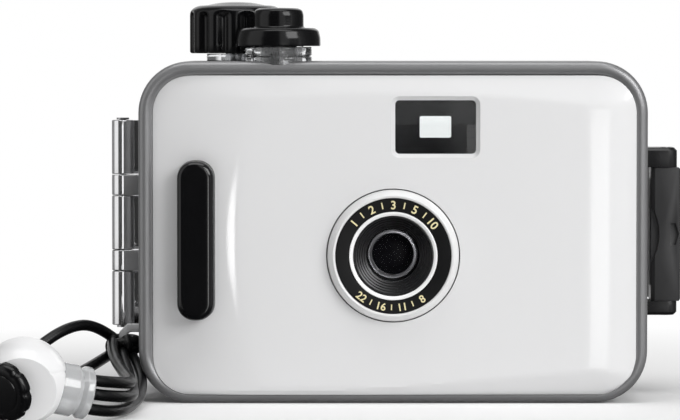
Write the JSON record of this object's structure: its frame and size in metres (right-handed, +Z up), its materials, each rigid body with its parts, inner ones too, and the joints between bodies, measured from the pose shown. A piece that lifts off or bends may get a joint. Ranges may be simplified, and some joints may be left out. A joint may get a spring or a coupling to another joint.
{
  "type": "waterproof film camera",
  "caption": "Compact film camera in a clear-edged waterproof case with a white front, lens port, finder window, winding knob, shutter button and cord wrist strap.",
  "frame": {"origin": "on the bottom face of the waterproof case, below the lens axis and half way along its width", "axes": "+X to the right of someone facing the lens, +Y from the lens to the back, +Z up"},
  "size_m": [0.1945, 0.1091, 0.0931],
  "materials": {
    "clear_body": "polished smoky grey clear plastic",
    "clear_cover": "polished smoky grey clear plastic",
    "white_panel": "gloss white plastic",
    "white_trim": "gloss white plastic",
    "grip_black": "gloss black plastic",
    "black_trim": "satin black plastic",
    "clear_pane": "clear pane",
    "coated_glass": "coated glass",
    "clear_collar": "clear plastic",
    "knob_black": "gloss black plastic",
    "seal_rubber": "black rubber",
    "dark_plastic": "satin dark grey plastic",
    "steel": "plain steel",
    "clear_bar": "pale clear plastic",
    "camera_black": "matte black plastic",
    "chassis_black": "dull black plastic",
    "shutter_metal": "black blued metal",
    "dial_white": "white plastic with black numbers",
    "rewind_grey": "grey plastic",
    "cord_black": "smooth braided cord",
    "bead_white": "gloss white plastic",
    "bead_black": "gloss black plastic",
    "bead_clear": "clear plastic"
  },
  "bodies": {
    "housing": {"front_shell": "clear_body", "front_panel": "white_panel", "grip_pad": "grip_black", "lens_bezel": "white_panel", "index_ring": "black_trim", "lens_trim_ring": "white_trim", "port_cone": "black_trim", "port_seal": "seal_rubber", "port_glass": "coated_glass", "port_retainer": "dark_plastic", "finder_window": "clear_pane", "finder_mask": "black_trim", "hinge_pin": "steel", "latch_bracket": "dark_plastic", "bracket_screws": "steel", "latch_pin": "steel", "winding_seal": "seal_rubber", "knob_collar": "clear_collar", "button_collar": "clear_collar", "button_seal": "seal_rubber", "button_spring": "steel", "camera_front_cover": "camera_black", "camera_top_cover": "camera_black", "finder_front_lens": "clear_pane", "finder_rear_lens": "clear_pane", "camera_screws": "steel", "camera_chassis": "chassis_black", "lens_barrel": "camera_black", "front_element": "coated_glass", "rear_element": "coated_glass", "shutter_plate": "shutter_metal", "strap_bar": "clear_bar", "strap_knot": "cord_black", "strap_arc_strand": "cord_black", "strap_coil": "cord_black", "strap_back_strand": "cord_black", "strap_lock_strands": "cord_black", "cord_lock_body": "bead_white", "cord_lock_cap": "bead_black", "cord_lock_spring": "steel"},
    "rear_cover": {"rear_cover": "clear_cover", "eyepiece_window": "clear_pane", "case_gasket": "seal_rubber"},
    "latch": {"latch_lever": "dark_plastic"},
    "winding": {"winding_knob": "knob_black", "winding_shaft": "steel", "thumbwheel": "chassis_black", "take_up_spool": "chassis_black"},
    "button": {"button_cap": "knob_black", "button_plunger": "dark_plastic"},
    "release": {"release_button": "chassis_black"},
    "shutter": {"shutter_leaf": "shutter_metal"},
    "sprocket": {"sprocket": "chassis_black"},
    "counter": {"counter_dial": "dial_white"},
    "film_door": {"film_door": "camera_black", "pressure_plate": "shutter_metal", "pressure_spring": "steel"},
    "rewind": {"rewind_knob": "rewind_grey", "rewind_crank": "rewind_grey"},
    "lock_plunger": {"cord_lock_plunger": "bead_clear"}
  },
  "joints": [
    {"name": "cover_hinge", "type": "hinge", "parent": "housing", "child": "rear_cover", "pos_m": [-0.0645, 0.014, 0], "axis": [0, 0, 1], "range_deg": [0, 165]},
    {"name": "latch_hinge", "type": "hinge", "parent": "housing", "child": "latch", "pos_m": [0.0653, 0.006, 0.039], "axis": [0, 0, -1], "range_deg": [0, 105]},
    {"name": "winding_turn", "type": "hinge", "parent": "housing", "child": "winding", "pos_m": [-0.037, 0.0052, 0.08], "axis": [0, 0, 1], "continuous": true},
    {"name": "button_press", "type": "slide", "parent": "housing", "child": "button", "axis": [0, 0, -1], "range_m": [0, 0.002], "stiffness_N_per_m": 700, "springref_m": -0.001, "deforming": ["button_spring"]},
    {"name": "release_press", "type": "slide", "parent": "housing", "child": "release", "axis": [0, 0, -1], "range_m": [0, 0.0021]},
    {"name": "shutter_swing", "type": "hinge", "parent": "housing", "child": "shutter", "pos_m": [0.011, -0.0077, 0.0342], "axis": [0, 1, 0], "range_deg": [0, 36]},
    {"name": "sprocket_turn", "type": "hinge", "parent": "housing", "child": "sprocket", "pos_m": [-0.025, 0.0095, 0.034], "axis": [0, 0, 1], "continuous": true},
    {"name": "counter_turn", "type": "hinge", "parent": "housing", "child": "counter", "pos_m": [-0.025, 0.0095, 0.067], "axis": [0, 0, 1], "continuous": true},
    {"name": "film_door_hinge", "type": "hinge", "parent": "housing", "child": "film_door", "pos_m": [-0.053, 0.019, 0.034], "axis": [0, 0, 1], "range_deg": [0, 83]},
    {"name": "rewind_turn", "type": "hinge", "parent": "housing", "child": "rewind", "pos_m": [0.0374, 0.0046, 0.072], "axis": [0, 0, 1], "continuous": true},
    {"name": "lock_press", "type": "slide", "parent": "housing", "child": "lock_plunger", "axis": [-0.9156, -0.3333, 0.225], "range_m": [0, 0.0035], "stiffness_N_per_m": 500, "springref_m": -0.002, "deforming": ["cord_lock_spring"]}
  ],
  "couplings": [
    {"joint": "release_press", "follows": "button_press", "ratio": 1},
    {"joint": "shutter_swing", "follows": "button_press", "rad_per_m": 305},
    {"joint": "sprocket_turn", "follows": "winding_turn", "ratio": 0.82645},
    {"joint": "counter_turn", "follows": "winding_turn", "ratio": 0.020661},
    {"joint": "film_door_hinge", "follows": "cover_hinge", "ratio": 0.5}
  ]
}
